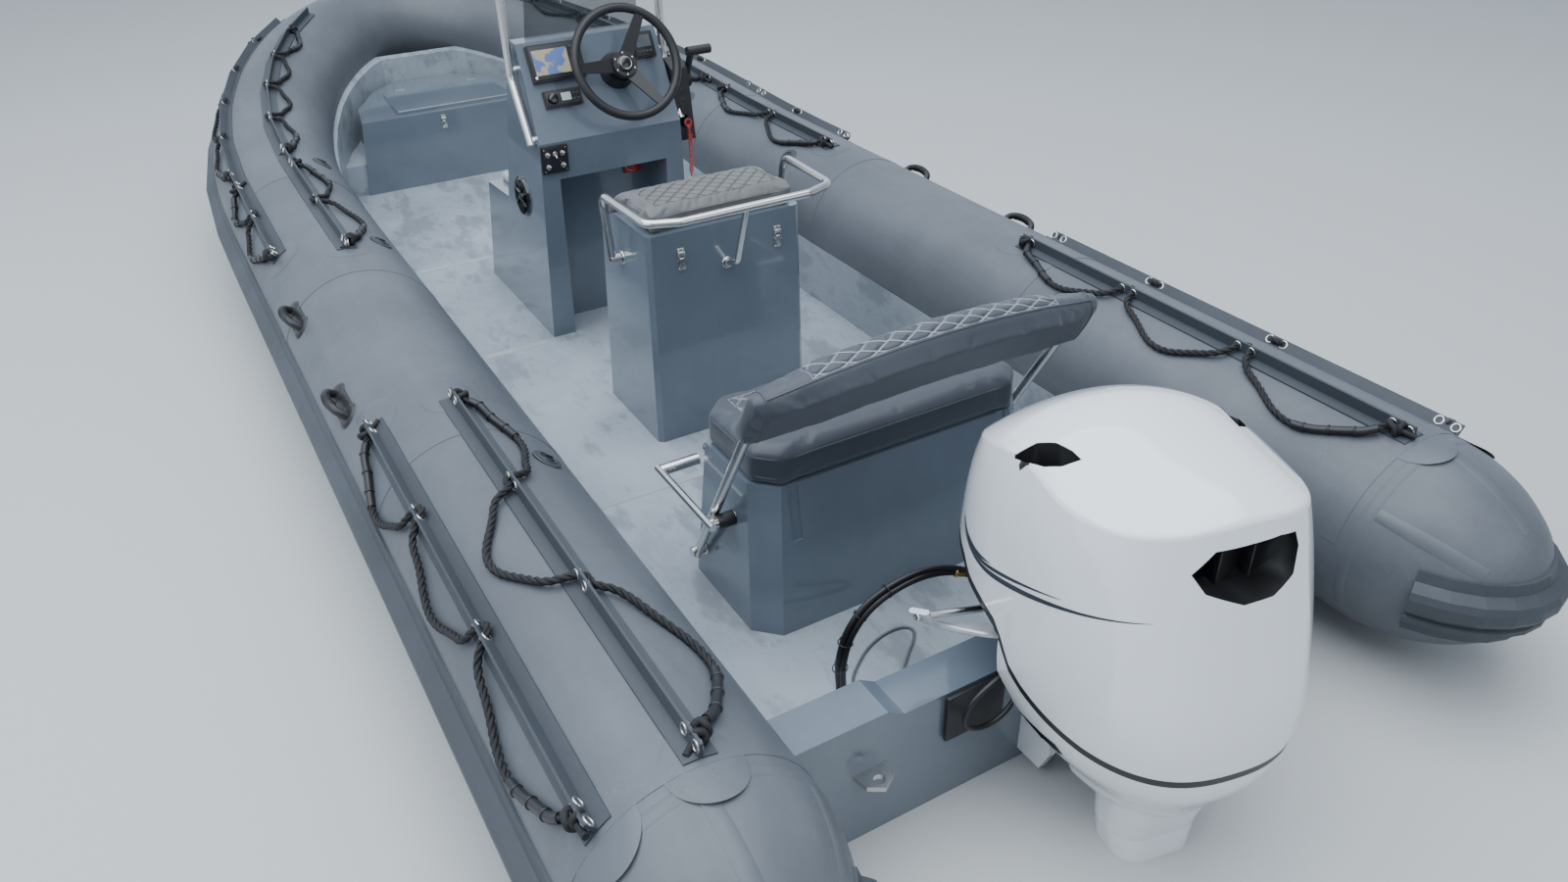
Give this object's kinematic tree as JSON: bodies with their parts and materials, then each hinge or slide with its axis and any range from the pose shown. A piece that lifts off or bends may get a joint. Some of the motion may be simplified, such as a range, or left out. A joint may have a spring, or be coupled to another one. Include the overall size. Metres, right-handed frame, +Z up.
{
  "type": "rigid inflatable boat",
  "caption": "Open rigid inflatable boat with air collar, console, jockey seat, aft bench with swinging backrest, bow locker and a white outboard motor.",
  "frame": {"origin": "on the waterline, on the centreline, near the middle of the length", "axes": "+X to the bow, +Y to port, +Z up; the waterline is the plane z = 0"},
  "size_m": [6.1385, 2.472, 2.054],
  "materials": {
    "tube_fabric": "satin",
    "strake_rubber": "matt",
    "gelcoat": "gloss",
    "deck_gelcoat": "textured",
    "stainless": "polished",
    "navy_vinyl": "satin",
    "taupe_vinyl": "satin",
    "tinted_sheet": "gloss",
    "black_plastic": "satin",
    "motor_paint": "gloss",
    "seal_rubber": "satin",
    "propeller_paint": "gloss"
  },
  "bodies": {
    "boat": {"tube_port": "tube_fabric", "tube_starboard": "tube_fabric", "stern_cone_port": "tube_fabric", "stern_cone_starboard": "tube_fabric", "rubbing_strake_port": "strake_rubber", "rubbing_strake_starboard": "strake_rubber", "hull": "gelcoat", "deck_liner": "deck_gelcoat", "transom": "gelcoat", "transom_eye_port": "stainless", "transom_eye_starboard": "stainless", "bow_eye": "stainless", "bench_box": "gelcoat", "bench_cushion": "navy_vinyl", "seat_box": "gelcoat", "console_shell": "gelcoat", "windscreen": "tinted_sheet", "console_rail": "stainless", "display": "black_plastic", "radio": "black_plastic", "gauge": "black_plastic", "switch_panel": "black_plastic", "helm_boss": "black_plastic", "throttle": "black_plastic", "seat_rail": "stainless", "backrest_pivot_port": "stainless", "backrest_pivot_starboard": "stainless", "backrest_stop_port": "stainless", "backrest_stop_starboard": "stainless", "bow_locker": "gelcoat", "clamp_bracket": "motor_paint", "flap_aft_inner_port": "strake_rubber", "flap_aft_inner_starboard": "strake_rubber", "flap_aft_outer_port": "strake_rubber", "flap_aft_outer_starboard": "strake_rubber", "flap_fore_inner_port": "strake_rubber", "flap_fore_inner_starboard": "strake_rubber", "flap_fore_outer_port": "strake_rubber", "flap_fore_outer_starboard": "strake_rubber"},
    "bow_lid": {"bow_lid": "gelcoat"},
    "seat_lid": {"seat_lid": "gelcoat", "seat_cushion": "taupe_vinyl"},
    "console_door": {"console_door": "gelcoat"},
    "wheel": {"steering_wheel": "black_plastic"},
    "backrest": {"backrest": "navy_vinyl", "backrest_arm_port": "stainless", "backrest_arm_starboard": "stainless"},
    "swivel": {"swivel_bracket": "motor_paint", "steering_rod": "motor_paint"},
    "steering_ram": {"steering_ram": "stainless"},
    "motor": {"midsection": "motor_paint", "lower_cowl": "motor_paint", "cowl_seal": "seal_rubber", "upper_cowl": "motor_paint", "lower_unit": "motor_paint"},
    "propeller": {"propeller": "propeller_paint"},
    "tilt_cylinder": {"tilt_cylinder": "motor_paint"},
    "tilt_rod": {"tilt_rod": "stainless"}
  },
  "joints": [
    {"name": "outboard_tilt", "type": "hinge", "parent": "boat", "child": "swivel", "pos_m": [-2.515, 0, 0.405], "axis": [0, 1, 0], "range_deg": [0, 65]},
    {"name": "outboard_steer", "type": "hinge", "parent": "swivel", "child": "motor", "pos_m": [-2.665, 0, 0.2], "axis": [0, 0, 1], "range_deg": [-18, 42]},
    {"name": "steering_ram_slide", "type": "slide", "parent": "swivel", "child": "steering_ram", "axis": [0, 1, 0], "range_m": [-0.036, 0.083]},
    {"name": "propeller_spin", "type": "hinge", "parent": "motor", "child": "propeller", "pos_m": [-2.665, 0, -0.47], "axis": [0.9781, -0.2079, 0], "continuous": true},
    {"name": "tilt_cylinder_swing", "type": "hinge", "parent": "boat", "child": "tilt_cylinder", "pos_m": [-2.55, 0, 0.07], "axis": [0, 1, 0], "range_deg": [-5.62, 0]},
    {"name": "tilt_rod_slide", "type": "slide", "parent": "tilt_cylinder", "child": "tilt_rod", "axis": [-0.1504, 0, 0.9886], "range_m": [0, 0.13312]},
    {"name": "steering_wheel_turn", "type": "hinge", "parent": "boat", "child": "wheel", "pos_m": [-0.14831, -0.075, 0.99635], "axis": [-0.8914, 0, 0.4532], "range_deg": [-1008, 432]},
    {"name": "bow_lid_hinge", "type": "hinge", "parent": "boat", "child": "bow_lid", "pos_m": [2.18, 0, 0.398], "axis": [0, 1, 0], "range_deg": [0, 95]},
    {"name": "seat_lid_hinge", "type": "hinge", "parent": "boat", "child": "seat_lid", "pos_m": [-0.60671, 0, 0.618], "axis": [0, 1, 0], "range_deg": [0, 95]},
    {"name": "backrest_flip", "type": "hinge", "parent": "boat", "child": "backrest", "pos_m": [-1.61, 0, 0.13], "axis": [0, 1, 0], "range_deg": [0, 55]},
    {"name": "console_door_hinge", "type": "hinge", "parent": "boat", "child": "console_door", "pos_m": [0.25551, -0.19, 0.52218], "axis": [0.2729, 0, -0.962], "range_deg": [0, 100]}
  ],
  "couplings": [
    {"joint": "steering_ram_slide", "follows": "outboard_steer", "m_per_rad": 0.111},
    {"joint": "tilt_cylinder_swing", "follows": "outboard_tilt", "ratio": -0.085703},
    {"joint": "tilt_rod_slide", "follows": "outboard_tilt", "m_per_rad": 0.1169},
    {"joint": "steering_wheel_turn", "follows": "outboard_steer", "ratio": -24}
  ]
}
